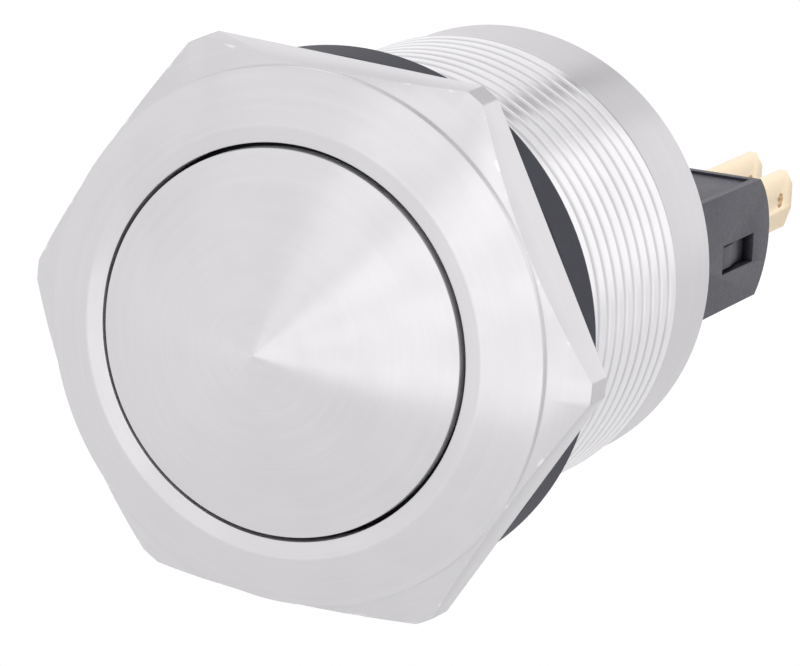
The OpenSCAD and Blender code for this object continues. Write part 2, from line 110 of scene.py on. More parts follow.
def turn(name, outline, steps):
    """Turns an outline of (radius, y) points in millimetres about the Y axis, as on a lathe."""
    deselect()
    bpy.ops.mesh.primitive_plane_add(size=MM, location=(outline[0][0] * MM, outline[0][1] * MM, 0))
    piece = bpy.context.object
    piece.name = piece.data.name = name
    bpy.ops.object.transform_apply(location=True)
    bpy.ops.object.mode_set(mode="EDIT")
    bpy.ops.mesh.select_all(action="SELECT")
    bpy.ops.mesh.merge(type="CENTER")
    for here, there in zip(outline, outline[1:]):
        move = ((there[0] - here[0]) * MM, (there[1] - here[1]) * MM, 0)
        bpy.ops.mesh.extrude_vertices_move(TRANSFORM_OT_translate={"value": move})
    bpy.ops.mesh.select_all(action="SELECT")
    bpy.ops.mesh.spin(steps=steps, angle=math.tau, center=(0, 0, 0), axis=(0, 1, 0))
    bpy.ops.mesh.select_all(action="SELECT")
    bpy.ops.mesh.remove_doubles(threshold=MM / 500)
    bpy.ops.mesh.normals_make_consistent(inside=False)
    bpy.ops.object.mode_set(mode="OBJECT")
    return piece


def apply_modifier(piece, kind, **settings):
    """Gives a piece one modifier and applies it."""
    deselect()
    piece.select_set(True)
    bpy.context.view_layer.objects.active = piece
    modifier = piece.modifiers.new(kind, kind)
    for name, value in settings.items():
        setattr(modifier, name, value)
    bpy.ops.object.modifier_apply(modifier=modifier.name)


def carve(piece, tool, operation, solver="MANIFOLD"):
    """Cuts, trims or joins a piece with another one, which is used up."""
    apply_modifier(piece, "BOOLEAN", operation=operation, object=tool, solver=solver)
    bpy.data.objects.remove(tool)


def smooth(piece, degrees=30):
    """Shades a piece smoothly, with crisp edges above an angle."""
    deselect()
    piece.select_set(True)
    bpy.context.view_layer.objects.active = piece
    bpy.ops.object.shade_smooth_by_angle(angle=math.radians(degrees))


head_outline = [
    (BORE_R, -8.0), (BORE_R, LIP_Y), (CREST_R, CREST_Y), (STEP_R, STEP_FACE), (STEP_R, HEAD_FACE),
    (CORNER_R, CORNER_Y), (CORNER_R, HEAD_BACK), (RELIEF_R, HEAD_BACK), (RELIEF_R, 0.0), (ROOT_R, 0.0),
    (ROOT_R, THREAD_END), (RELIEF_R, THREAD_END), (RELIEF_R, GROOVE_END), (COLLAR_R, GROOVE_END),
    (COLLAR_R, REAR_Y - 0.7), (COLLAR_R - 0.7, REAR_Y), (CARRIER_R, REAR_Y), (CARRIER_R, CLIP_BACK),
    (CLIP_R, CLIP_BACK), (CLIP_R, CLIP_FRONT), (CARRIER_R, CLIP_FRONT), (CARRIER_R, CARRIER_SEAT),
    (MAIN_R, CARRIER_SEAT), (MAIN_R, BUSH_SEAT), (BORE_R, BUSH_SEAT), (BORE_R, -8.0),
]
housing = turn("steel_housing", eased(head_outline, BREAK), 240)

deselect()
bpy.ops.mesh.primitive_cylinder_add(
    vertices=6, radius=FLAT_R / math.cos(math.pi / 6) * MM, depth=60 * MM,
    location=(0, 10 * MM, 0), rotation=(math.pi / 2, math.pi / 6, 0),
)
bar = bpy.context.object
bpy.ops.object.transform_apply(location=True, rotation=True)
carve(housing, bar, "INTERSECT", "EXACT")

deselect()
housing.select_set(True)
bpy.context.view_layer.objects.active = housing
bpy.ops.object.mode_set(mode="EDIT")
bpy.ops.mesh.select_mode(type="EDGE")
bpy.ops.mesh.select_all(action="DESELECT")
bpy.ops.mesh.edges_select_sharp(sharpness=math.radians(16))
bpy.ops.object.mode_set(mode="OBJECT")
for edge in housing.data.edges:
    ends = [housing.data.vertices[i].co for i in edge.vertices]
    on_flats = all(math.hypot(end.x, end.z) > (FLAT_R - FLAT_NEAR) * MM for end in ends)
    edge.select = edge.select and on_flats
bpy.ops.object.mode_set(mode="EDIT")
bpy.ops.mesh.bevel(offset=FLAT_BREAK * MM, segments=2, affect="EDGES", clamp_overlap=True)
bpy.ops.mesh.select_mode(type="VERT")
bpy.ops.object.mode_set(mode="OBJECT")

thread_section = [
    (19.25, -0.8), (19.45, -0.825), (19.9, -0.58), (20.0, -0.49),
    (20.0, 0.49), (19.9, 0.58), (19.45, 0.825), (19.25, 0.8),
]
deselect()
bpy.ops.mesh.primitive_circle_add(vertices=8, radius=MM, fill_type="NGON")
thread = bpy.context.object
for vertex, (radius, along) in zip(thread.data.vertices, thread_section):
    vertex.co = (radius * MM, (along - 1.5 * PITCH) * MM, 0)
apply_modifier(
    thread, "SCREW", axis="Y", angle=math.tau, screw_offset=PITCH * MM, iterations=15,
    steps=160, render_steps=160, use_merge_vertices=True, merge_threshold=MM / 500,
)
deselect()
thread.select_set(True)
bpy.context.view_layer.objects.active = thread
bpy.ops.object.mode_set(mode="EDIT")
bpy.ops.mesh.select_all(action="SELECT")
bpy.ops.mesh.fill_holes(sides=len(thread_section))
bpy.ops.mesh.select_all(action="SELECT")
bpy.ops.mesh.normals_make_consistent(inside=False)
bpy.ops.object.mode_set(mode="OBJECT")
SLEEVE_IN, SLEEVE_OUT, SLEEVE_FRONT, SLEEVE_BACK = 18, 21, 0.02, THREAD_END - 0.02
sleeve_outline = [
    (SLEEVE_IN, SLEEVE_FRONT), (SLEEVE_OUT, SLEEVE_FRONT),
    (SLEEVE_OUT, SLEEVE_BACK), (SLEEVE_IN, SLEEVE_BACK), (SLEEVE_IN, SLEEVE_FRONT),
]
sleeve = turn("thread_length", sleeve_outline, 160)
carve(thread, sleeve, "INTERSECT")
carve(housing, thread, "UNION")
smooth(housing, 24)


def put(tree, kind, values=None, **settings):
    """Adds one shader node, with its settings and its sockets' values or links."""
    made = tree.nodes.new(kind)
    for name, value in settings.items():
        setattr(made, name, value)
    for socket, value in (values or {}).items():
        if isinstance(value, bpy.types.NodeSocket):
            tree.links.new(value, made.inputs[socket])
        else:
            made.inputs[socket].default_value = value
    return made


def reckon(tree, operation, *values):
    """One Math node, as its output."""
    return put(tree, "ShaderNodeMath", dict(enumerate(values)), operation=operation).outputs[0]


def plus_share(tree, base, value, share):
    """A base with a share of a value added."""
    return reckon(tree, "ADD", base, reckon(tree, "MULTIPLY", value, share))


def ramp(tree, value, low, high, to_low=0.0, to_high=1.0):
    """A smooth step of a value from low to high, as its output."""
    sockets = {"Value": value, "From Min": low, "From Max": high, "To Min": to_low, "To Max": to_high}
    return put(tree, "ShaderNodeMapRange", sockets, interpolation_type="SMOOTHSTEP").outputs["Result"]


def blend_colour(tree, share, first, second):
    """Two colours mixed by a share, as one output."""
    mix = put(tree, "ShaderNodeMix", data_type="RGBA")
    for socket, value in ((mix.inputs[0], share), (mix.inputs[6], first), (mix.inputs[7], second)):
        if isinstance(value, bpy.types.NodeSocket):
            tree.links.new(value, socket)
        else:
            socket.default_value = value
    return mix.outputs[2]


def tinted(tree, colour, mask, share, other):
    """A colour drawn towards another by a share of a mask."""
    return blend_colour(tree, reckon(tree, "MULTIPLY", mask, share), colour, other)


def effect(name, inputs, outputs):
    """A shader node group with its named inputs and outputs, as the group, its entry and its exit."""
    group = bpy.data.node_groups.new(name, "ShaderNodeTree")
    for socket, start in inputs.items():
        made = group.interface.new_socket(name=socket, in_out="INPUT", socket_type="NodeSocketFloat")
        made.default_value = start
    for socket in outputs:
        group.interface.new_socket(name=socket, in_out="OUTPUT", socket_type="NodeSocketFloat")
    return group, group.nodes.new("NodeGroupInput"), group.nodes.new("NodeGroupOutput")


def use(tree, group, **values):
    """Places an effect in a material with its own values."""
    placed = tree.nodes.new("ShaderNodeGroup")
    placed.node_tree = group
    for socket, value in values.items():
        named = placed.inputs[socket.replace("_", " ")]
        if isinstance(value, bpy.types.NodeSocket):
            tree.links.new(value, named)
        else:
            named.default_value = value
    return placed.outputs


def finish_of(name):
    """A new material with its tree and its Principled shader."""
    material = bpy.data.materials.new(name)
    material.use_nodes = True
    return material, material.node_tree, material.node_tree.nodes["Principled BSDF"]


def dress(piece, material):
    """Puts one material on the whole of a piece."""
    piece.data.materials.clear()
    piece.data.materials.append(material)


# Tool marks of turning and milling: rings round the axis, or straight lines
# across the flats where Straight is 1; the marks fade in and out along each ring.
tool_marks, entry, leave = effect("tool_marks", {"Straight": 0.0, "Marks per mm": 4.0}, ["Fine", "Broad"])
place = put(tool_marks, "ShaderNodeTexCoord").outputs["Object"]
axes = put(tool_marks, "ShaderNodeSeparateXYZ", {0: place}).outputs
squared = plus_share(tool_marks, reckon(tool_marks, "MULTIPLY", axes[0], axes[0]), axes[2], axes[2])
radius = reckon(tool_marks, "SQRT", squared)
ringed = reckon(tool_marks, "SUBTRACT", 1.0, entry.outputs["Straight"])
round_part = reckon(tool_marks, "MULTIPLY", radius, ringed)
path = reckon(tool_marks, "MULTIPLY", reckon(tool_marks, "ADD", round_part, axes[1]), 1000.0)
spaced = reckon(tool_marks, "MULTIPLY", path, entry.outputs["Marks per mm"])
safe_radius = reckon(tool_marks, "MAXIMUM", radius, 0.0001)
across = reckon(tool_marks, "DIVIDE", axes[0], safe_radius)
upward = reckon(tool_marks, "DIVIDE", axes[2], safe_radius)
for output, share, detail in (("Fine", 1.0, 3.0), ("Broad", 0.14, 2.0)):
    along = reckon(tool_marks, "MULTIPLY", spaced, share)
    where = put(tool_marks, "ShaderNodeCombineXYZ", {0: across, 1: upward, 2: along}).outputs[0]
    pattern = {"Vector": where, "Scale": 1.0, "Detail": detail, "Roughness": 0.6}
    lines = put(tool_marks, "ShaderNodeTexNoise", pattern)
    tool_marks.links.new(lines.outputs[0], leave.inputs[output])

# Handling: soft smudges, and hairline scratches in two directions, in patches.
handling_sizes = {"Smudge size": 6.0, "Scratch size": 3.0}
handling, entry, leave = effect("handling", handling_sizes, ["Smudges", "Scratches"])
place = put(handling, "ShaderNodeTexCoord").outputs["Object"]
smudge_scale = reckon(handling, "DIVIDE", 1000.0, entry.outputs["Smudge size"])
pattern = {"Vector": place, "Scale": smudge_scale, "Detail": 3.0, "Roughness": 0.55}
cloud = put(handling, "ShaderNodeTexNoise", pattern)
handling.links.new(ramp(handling, cloud.outputs[0], 0.4, 0.65), leave.inputs["Smudges"])
scratch_scale = reckon(handling, "DIVIDE", 1000.0, entry.outputs["Scratch size"])
hairs = []
for tilt in ((0.4, 0.9, 0.2), (1.3, 0.3, 1.1)):
    drawn_out = {"Vector": place, "Rotation": tilt, "Scale": (1.0, 0.15, 1.0)}
    stretched = put(handling, "ShaderNodeMapping", drawn_out).outputs[0]
    ridges = put(handling, "ShaderNodeTexNoise", {"Vector": stretched, "Scale": scratch_scale, "Detail": 0.0})
    nearness = reckon(handling, "ABSOLUTE", reckon(handling, "SUBTRACT", ridges.outputs[0], 0.5))
    hairs.append(ramp(handling, nearness, 0.008, 0.0))
patches = put(handling, "ShaderNodeTexNoise", {"Vector": place, "Scale": scratch_scale, "Detail": 1.0})
both = reckon(handling, "MAXIMUM", *hairs)
scratched = reckon(handling, "MULTIPLY", both, ramp(handling, patches.outputs[0], 0.5, 0.65))
handling.links.new(scratched, leave.inputs["Scratches"])

# Edge wear: rubbed lines where a surface turns sharply outwards.
edge_wear, entry, leave = effect("edge_wear", {"Reach": 0.06, "Grain size": 0.3}, ["Wear"])
bend = put(edge_wear, "ShaderNodeNewGeometry").outputs["Pointiness"]
edge = ramp(edge_wear, bend, 0.51, reckon(edge_wear, "ADD", 0.51, entry.outputs["Reach"]))
place = put(edge_wear, "ShaderNodeTexCoord").outputs["Object"]
grain_scale = reckon(edge_wear, "DIVIDE", 1000.0, entry.outputs["Grain size"])
grain = put(edge_wear, "ShaderNodeTexNoise", {"Vector": place, "Scale": grain_scale, "Detail": 2.0})
rubbed = reckon(edge_wear, "MULTIPLY", edge, ramp(edge_wear, grain.outputs[0], 0.35, 0.6))
edge_wear.links.new(rubbed, leave.inputs["Wear"])


def turned_steel(name, pale, dark, marks, rough, stretch):
    """Bare turned steel: rings of fine tool marks, whose sheen fans out from the axis, with painted sheen on
    the thread and painted shade in its roots and on the collar.
    """
    material, tree, shader = finish_of(name)
    coordinates = put(tree, "ShaderNodeTexCoord").outputs
    place = coordinates["Object"]
    axes = put(tree, "ShaderNodeSeparateXYZ", {0: place}).outputs
    facing = put(tree, "ShaderNodeSeparateXYZ", {0: coordinates["Normal"]}).outputs
    spoke = put(tree, "ShaderNodeVectorMath", {0: place, 1: (1.0, 0.0, 1.0)}, operation="MULTIPLY").outputs[0]
    radius = put(tree, "ShaderNodeVectorMath", {0: spoke}, operation="LENGTH").outputs["Value"]

    # Where the surface is: a flat, the thread, its roots, the collar or a corner.
    side_face = ramp(tree, reckon(tree, "ABSOLUTE", facing[1]), 0.3, 0.2)
    beyond_step = reckon(tree, "GREATER_THAN", radius, (STEP_R + 0.05) * MM)
    on_flats = reckon(tree, "MULTIPLY", side_face, beyond_step)
    middle = GROOVE_END * MM / 2
    from_middle = reckon(tree, "ABSOLUTE", reckon(tree, "SUBTRACT", axes[1], middle))
    thread_painted_sheen_mask = reckon(tree, "LESS_THAN", from_middle, middle)
    outside = reckon(tree, "GREATER_THAN", radius, (RELIEF_R - 0.2) * MM)
    behind_panel = reckon(tree, "MULTIPLY", reckon(tree, "GREATER_THAN", axes[1], 0.0), outside)
    below_crest = ramp(tree, radius, (THREAD_R - 0.02) * MM, (THREAD_R - 0.18) * MM)
    root_painted_shade_mask = reckon(tree, "MULTIPLY", below_crest, behind_panel)
    root_painted_shade_mask = reckon(tree, "MULTIPLY", root_painted_shade_mask, reckon(tree, "LESS_THAN", axes[1], GROOVE_END * MM))
    on_collar = reckon(tree, "GREATER_THAN", axes[1], GROOVE_END * MM)
    on_corner = reckon(tree, "GREATER_THAN", radius, (CORNER_R - 0.06) * MM)

    # Nicks: knocks along the front edges of the hexagon.
    to_flats = []
    for angle in (math.pi / 6, math.pi / 2, -math.pi / 6):
        square = (math.cos(angle), 0.0, math.sin(angle))
        reach = put(tree, "ShaderNodeVectorMath", {0: place, 1: square}, operation="DOT_PRODUCT")
        to_flats.append(reckon(tree, "ABSOLUTE", reach.outputs["Value"]))
    hexagon = reckon(tree, "MAXIMUM", reckon(tree, "MAXIMUM", to_flats[0], to_flats[1]), to_flats[2])
    rim = ramp(tree, hexagon, (FLAT_R - 0.3) * MM, (FLAT_R - 0.08) * MM)
    pattern = {"Vector": place, "Scale": 420.0, "Detail": 4.0, "Roughness": 0.7}
    knocks = put(tree, "ShaderNodeTexNoise", pattern)
    nicked = reckon(tree, "MULTIPLY", rim, ramp(tree, knocks.outputs[0], 0.56, 0.66))
    nicked = reckon(tree, "MULTIPLY", nicked, reckon(tree, "SUBTRACT", 1.0, side_face))
    nicked = reckon(tree, "MULTIPLY", nicked, reckon(tree, "LESS_THAN", axes[1], HEAD_BACK * MM))

    rings = use(tree, tool_marks, Straight=on_flats, Marks_per_mm=marks)
    touched = use(tree, handling, Smudge_size=7.0, Scratch_size=2.6)
    tone = plus_share(tree, reckon(tree, "MULTIPLY", rings["Fine"], 0.6), rings["Broad"], 0.5)
    colour = blend_colour(tree, ramp(tree, tone, 0.25, 0.85), dark, pale)
    # Painted sheen: the thread is drawn paler than the rest of the steel, in place of its brighter
    # reflection.
    colour = tinted(tree, colour, thread_painted_sheen_mask, 0.7, (0.82, 0.81, 0.825, 1.0))
    colour = tinted(tree, colour, on_flats, 0.4, (0.5, 0.49, 0.505, 1.0))
    # Painted shade: the thread roots are drawn darker.
    colour = tinted(tree, colour, root_painted_shade_mask, 0.4, (0.3, 0.3, 0.32, 1.0))
    # Painted shade: the collar is drawn darker.
    colour = tinted(tree, colour, on_collar, 0.2, (0.45, 0.44, 0.455, 1.0))
    colour = tinted(tree, colour, nicked, 0.7, (0.93, 0.92, 0.93, 1.0))
    tree.links.new(colour, shader.inputs["Base Color"])
    shader.inputs["Metallic"].default_value = 1.0
    shader.inputs["Anisotropic"].default_value = stretch
    shader.inputs["Anisotropic Rotation"].default_value = 0.25
    round_way = put(tree, "ShaderNodeVectorMath", {0: place, 1: (0.0, 1.0, 0.0)}, operation="CROSS_PRODUCT")
    tree.links.new(round_way.outputs[0], shader.inputs["Tangent"])
    roughness = plus_share(tree, rough, rings["Fine"], 0.06)
    roughness = plus_share(tree, roughness, touched["Smudges"], 0.04)
    roughness = plus_share(tree, roughness, on_collar, 0.12)
    roughness = plus_share(tree, roughness, on_corner, 0.35)
    tree.links.new(roughness, shader.inputs["Roughness"])
    relief = plus_share(tree, rings["Fine"], rings["Broad"], 0.4)
    relief = reckon(tree, "SUBTRACT", relief, reckon(tree, "MULTIPLY", nicked, 12.0))
    bump = put(tree, "ShaderNodeBump", {"Strength": 0.5, "Distance": 0.0000012, "Height": relief})
    tree.links.new(bump.outputs[0], shader.inputs["Normal"])
    return material


STEEL_PALE = (0.69, 0.68, 0.695, 1.0)
STEEL_DARK = (0.65, 0.64, 0.655, 1.0)
steel_cut = {"marks": 7.0, "rough": 0.3, "stretch": 0.95}
head_steel = turned_steel("housing_steel", STEEL_PALE, STEEL_DARK, **steel_cut)
dress(housing, head_steel)
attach(housing, "root")
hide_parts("housing")


# Panel gasket: a thick ring of black rubber between the head and the panel,
# moulded flat, with its edges a little rounded from the mould.
GASKET_HOLE = 20.1
GASKET_MIDDLE = -2.2
gasket_outline = [
    (GASKET_HOLE, GASKET_MIDDLE), (GASKET_HOLE, HEAD_BACK), (FLAT_R, HEAD_BACK),
    (FLAT_R, 0.0), (GASKET_HOLE, 0.0), (GASKET_HOLE, GASKET_MIDDLE),
]
gasket = turn("rubber_gasket", eased(gasket_outline, 0.3), 200)
smooth(gasket, 40)


def rubber(name, colour, worn_colour, rough):
    """Matt moulded rubber with a fine bloom and a few pale rubbed specks."""
    material, tree, shader = finish_of(name)
    place = put(tree, "ShaderNodeTexCoord").outputs["Object"]
    pattern = {"Vector": place, "Scale": 350.0, "Detail": 4.0, "Roughness": 0.6}
    bloom = put(tree, "ShaderNodeTexNoise", pattern).outputs[0]
    pores = put(tree, "ShaderNodeTexNoise", {"Vector": place, "Scale": 5000.0, "Detail": 2.0}).outputs[0]
    shade = blend_colour(tree, ramp(tree, bloom, 0.35, 0.75), colour, worn_colour)
    tree.links.new(shade, shader.inputs["Base Color"])
    tree.links.new(plus_share(tree, rough, bloom, 0.15), shader.inputs["Roughness"])
    shader.inputs["Specular IOR Level"].default_value = 0.25
    bump = put(tree, "ShaderNodeBump", {"Strength": 0.4, "Distance": 0.00003, "Height": pores})
    tree.links.new(bump.outputs[0], shader.inputs["Normal"])
    return material


dress(gasket, rubber("gasket_rubber", (0.019, 0.02, 0.031, 1.0), (0.032, 0.034, 0.049, 1.0), 0.5))
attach(gasket, "root")
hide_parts("panel_gasket")


# Button: a steel cap turned to a shallow point, with a groove for its ring seal,
# a stop flange at its rear edge, and a post with a blind hole for the rod.
CAP_R = 16.5
APEX_Y = -17.7
RIM_Y = -12.7
APEX_SLOPE = math.radians(10)
SEAL_Y = -10.9
SEAL_ROOT = 15.45
FLANGE_R = 17.2
FLANGE_Y = 0.55
SKIRT_END = 2.45
SKIRT_R = 14.2
ROOF = 2.2
DOME_ROWS = 22
POINT_R = 0.12
POST_R = 4.0
POST_END = -11.1
HOLE_R = 2.25
HOLE_END = -13.75
rise = RIM_Y - APEX_Y
dome_sweep = 2 * (math.atan(rise / CAP_R) - APEX_SLOPE)
dome_radius = math.hypot(rise, CAP_R) / 2 / math.sin(dome_sweep / 2)


def dome_y(radius):
    """The dome's height at a radius: a long arc that meets its point at the apex slope."""
    centre_r = -dome_radius * math.sin(APEX_SLOPE)
    centre_y = APEX_Y + dome_radius * math.cos(APEX_SLOPE)
    return centre_y - math.sqrt(dome_radius ** 2 - (radius - centre_r) ** 2)


dome_rows = [0.0, POINT_R] + [POINT_R + (CAP_R - POINT_R) * k / DOME_ROWS for k in range(1, DOME_ROWS)]
roof_rows = [SKIRT_R - 0.5 - (SKIRT_R - 0.5 - 4.2) * k / 10 for k in range(11)]
side_corners = [
    (dome_rows[-1], dome_y(dome_rows[-1])), (CAP_R, RIM_Y),
    (CAP_R, SEAL_Y - 0.7), (SEAL_ROOT, SEAL_Y - 0.7), (SEAL_ROOT, SEAL_Y + 0.7), (CAP_R, SEAL_Y + 0.7),
    (CAP_R, FLANGE_Y), (FLANGE_R, FLANGE_Y), (FLANGE_R, SKIRT_END), (SKIRT_R, SKIRT_END),
    (SKIRT_R, dome_y(SKIRT_R) + ROOF), (roof_rows[0], dome_y(roof_rows[0]) + ROOF),
]
cap_outline = [(r, dome_y(r)) for r in dome_rows[:-1]]
cap_outline += eased(side_corners, 0.08)[:-1]
cap_outline += [(r, dome_y(r) + ROOF) for r in roof_rows]
cap_outline += [
    (POST_R, dome_y(POST_R) + ROOF + 0.1), (POST_R, POST_END), (HOLE_R, POST_END),
    (HOLE_R, HOLE_END), (0.0, HOLE_END),
]
button = turn("domed_cap", cap_outline, 256)
smooth(button, 24)
button_steel = turned_steel("button_steel", STEEL_PALE, STEEL_DARK, **steel_cut)
dress(button, button_steel)
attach(button, "button")
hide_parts("button_cap")


# Ring seals: moulded rubber rings with a faint flash line, one in the button's
# groove and one in the carrier's.
def ring_seal(name, middle_r, y, section):
    """A ring of round section with the mould's flash line on its outside."""
    points = [
        (middle_r + section * math.cos(math.tau * k / 24) / 2, y + section * math.sin(math.tau * k / 24) / 2)
        for k in range(25)
    ]
    points[0] = points[24] = (points[0][0] + 0.02, y)
    return turn(name, points, 144)


seal_rubber = rubber("seal_rubber", (0.012, 0.012, 0.014, 1.0), (0.022, 0.022, 0.026, 1.0), 0.35)
for name, middle_r, y, body, node_name in (
    ("button_seal", 16.15, SEAL_Y, "button", "cap_seal"),
    ("carrier_seal_ring", 17.15, 10.0, "root", "carrier_seal"),
):
    seal = ring_seal(name, middle_r, y, 1.3)
    smooth(seal, 40)
    dress(seal, seal_rubber)
    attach(seal, body)
    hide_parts(node_name)


# Guide bush: a thin sleeve of natural plastic pressed into the barrel, which
# the button runs in; its bore has a lead-in at both ends.
BUSH_IN = 16.56
BUSH_OUT = 17.35
BUSH_REAR = 0.5
LEAD_IN = 0.3
bush_outline = [
    (BUSH_IN, -3.0), (BUSH_IN, BUSH_SEAT + LEAD_IN), (BUSH_IN + LEAD_IN, BUSH_SEAT), (BUSH_OUT, BUSH_SEAT),
    (BUSH_OUT, BUSH_REAR), (BUSH_IN + LEAD_IN, BUSH_REAR), (BUSH_IN, BUSH_REAR - LEAD_IN), (BUSH_IN, -3.0),
]
bush = turn("guide_sleeve", eased(bush_outline, 0.06), 160)
smooth(bush, 30)


# Skin of a moulded piece: fine spark-eroded grain, broad flow marks and dust.
skin_sizes = {"Grain size": 0.12, "Flow size": 6.0}
moulded_skin, entry, leave = effect("moulded_skin", skin_sizes, ["Grain", "Flow", "Dust"])
place = put(moulded_skin, "ShaderNodeTexCoord").outputs["Object"]
for output, size, low, high in (("Grain", "Grain size", 0.3, 0.7), ("Flow", "Flow size", 0.35, 0.65)):
    scale = reckon(moulded_skin, "DIVIDE", 1000.0, entry.outputs[size])
    pattern = {"Vector": place, "Scale": scale, "Detail": 3.0, "Roughness": 0.6}
    cloud = put(moulded_skin, "ShaderNodeTexNoise", pattern).outputs[0]
    moulded_skin.links.new(ramp(moulded_skin, cloud, low, high), leave.inputs[output])
specks = put(moulded_skin, "ShaderNodeTexVoronoi", {"Vector": place, "Scale": 1400.0, "Randomness": 1.0})
moulded_skin.links.new(ramp(moulded_skin, specks.outputs["Distance"], 0.16, 0.08), leave.inputs["Dust"])


def moulded(name, colour, pale, rough):
    """Injection-moulded plastic: fine grain, faint flow marks, rubbed edges, dust, and painted shade in its
    hollows.
    """
    material, tree, shader = finish_of(name)
    skin = use(tree, moulded_skin, Grain_size=0.14, Flow_size=7.0)
    worn = use(tree, edge_wear, Reach=0.08, Grain_size=0.4)
    shade = tinted(tree, colour, skin["Flow"], 0.35, pale)
    shade = tinted(tree, shade, skin["Grain"], 0.2, pale)
    shade = tinted(tree, shade, worn["Wear"], 0.5, pale)
    shade = tinted(tree, shade, skin["Dust"], 0.06, (0.6, 0.6, 0.6, 1.0))
    # Painted shade: the colour darkens towards black in hollows and recesses, where ambient occlusion is low.
    painted_hollow_shade = put(tree, "ShaderNodeAmbientOcclusion", {"Distance": 0.002}, samples=8).outputs["AO"]
    shade = blend_colour(tree, ramp(tree, painted_hollow_shade, 0.2, 0.85), (0.006, 0.006, 0.008, 1.0), shade)
    tree.links.new(shade, shader.inputs["Base Color"])
    shader.inputs["Specular IOR Level"].default_value = 0.35
    tree.links.new(plus_share(tree, rough, skin["Grain"], 0.12), shader.inputs["Roughness"])
    bump = put(tree, "ShaderNodeBump", {"Strength": 0.35, "Distance": 0.00002, "Height": skin["Grain"]})
    tree.links.new(bump.outputs[0], shader.inputs["Normal"])
    return material


natural_plastic = moulded("natural_plastic", (0.62, 0.6, 0.54, 1.0), (0.74, 0.72, 0.66, 1.0), 0.38)
dress(bush, natural_plastic)
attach(bush, "root")
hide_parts("guide_bush")


# Return spring: round spring wire coiled cold, with closed ends laid flat, which
# presses the button's rod forwards off the carrier.
SPRING_FRONT = -9.3
SPRING_REAR = 8.45
SPRING_R = 9.4
WIRE_R = 0.6
TURNS = 5
FLAT_TURNS = 0.6
COIL_STEPS = 48
WIRE_SIDES = 14
CLOSED_LEAD = 1.04
whole_turns = TURNS + 2 * FLAT_TURNS
deselect()
bpy.ops.mesh.primitive_circle_add(
    vertices=WIRE_SIDES, radius=WIRE_R * MM, location=(SPRING_R * MM, 0, 0), fill_type="NGON",
)
spring = bpy.context.object
spring.name = spring.data.name = "spring_coil"
bpy.ops.object.transform_apply(location=True)
apply_modifier(
    spring, "SCREW", axis="Y", angle=math.tau * whole_turns, screw_offset=whole_turns * MM, iterations=1,
    steps=round(COIL_STEPS * whole_turns), render_steps=round(COIL_STEPS * whole_turns),
)
lead = 2 * WIRE_R * CLOSED_LEAD * FLAT_TURNS
low_y = -SPRING_REAR + WIRE_R
high_y = -SPRING_FRONT - WIRE_R
for vertex in spring.data.vertices:
    ring = vertex.index // WIRE_SIDES
    t = ring / COIL_STEPS
    wire_y = vertex.co.y - t * MM
    if t < FLAT_TURNS:
        height = low_y + lead * t / FLAT_TURNS
    elif t > whole_turns - FLAT_TURNS:
        height = high_y - lead * (whole_turns - t) / FLAT_TURNS
    else:
        height = low_y + lead + (high_y - low_y - 2 * lead) * (t - FLAT_TURNS) / TURNS
    vertex.co.y = wire_y - height * MM
deselect()
spring.select_set(True)
bpy.context.view_layer.objects.active = spring
bpy.ops.object.mode_set(mode="EDIT")
bpy.ops.mesh.select_all(action="SELECT")
bpy.ops.mesh.fill_holes(sides=WIRE_SIDES)
bpy.ops.mesh.select_all(action="SELECT")
bpy.ops.mesh.normals_make_consistent(inside=False)
bpy.ops.object.mode_set(mode="OBJECT")
smooth(spring, 50)


def plain_metal(name, pale, dark, rough, grain):
    """Sheet or wire metal: drawn or rolled lines, smudges and rubbed edges."""
    material, tree, shader = finish_of(name)
    place = put(tree, "ShaderNodeTexCoord").outputs["Object"]
    drawn = put(tree, "ShaderNodeMapping", {"Vector": place, "Scale": grain}).outputs[0]
    lines = put(tree, "ShaderNodeTexNoise", {"Vector": drawn, "Scale": 1000.0, "Detail": 3.0}).outputs[0]
    touched = use(tree, handling, Smudge_size=2.5, Scratch_size=1.2)
    worn = use(tree, edge_wear, Reach=0.08, Grain_size=0.2)
    shade = blend_colour(tree, ramp(tree, lines, 0.3, 0.7), dark, pale)
    shade = tinted(tree, shade, touched["Smudges"], 0.3, dark)
    shade = tinted(tree, shade, worn["Wear"], 0.5, pale)
    tree.links.new(shade, shader.inputs["Base Color"])
    shader.inputs["Metallic"].default_value = 1.0
    roughness = plus_share(tree, plus_share(tree, rough, lines, 0.15), touched["Scratches"], 0.15)
    tree.links.new(roughness, shader.inputs["Roughness"])
    bump = put(tree, "ShaderNodeBump", {"Strength": 0.3, "Distance": 0.00001, "Height": lines})
    tree.links.new(bump.outputs[0], shader.inputs["Normal"])
    return material


wire = plain_metal("spring_steel", (0.62, 0.62, 0.64, 1.0), (0.42, 0.42, 0.44, 1.0), 0.25, (4.0, 4.0, 4.0))
dress(spring, wire)
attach(spring, "root")
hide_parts("return_spring")
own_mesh(spring)


# Push rod: natural plastic, with a spigot pressed into the button's post, a wide
# head that the spring bears on, and a stem down to the switch plunger.
SPIGOT_R = 2.2
SPIGOT_FRONT = -13.7
ROD_HEAD_R = 12.0
STEM_R = 3.0
STEM_END = 15.05
rod_outline = [
    (0.0, SPIGOT_FRONT), (SPIGOT_R, SPIGOT_FRONT), (SPIGOT_R, POST_END), (ROD_HEAD_R - 1.5, POST_END),
    (ROD_HEAD_R, -10.6), (ROD_HEAD_R, SPRING_FRONT), (STEM_R + 0.6, SPRING_FRONT), (STEM_R, -8.7),
    (STEM_R, 14.9), (STEM_R - 0.2, STEM_END), (0.0, STEM_END),
]
rod = turn("push_rod_stem", eased(rod_outline, 0.1), 96)
smooth(rod, 30)
dress(rod, natural_plastic)
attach(rod, "button")
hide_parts("push_rod")


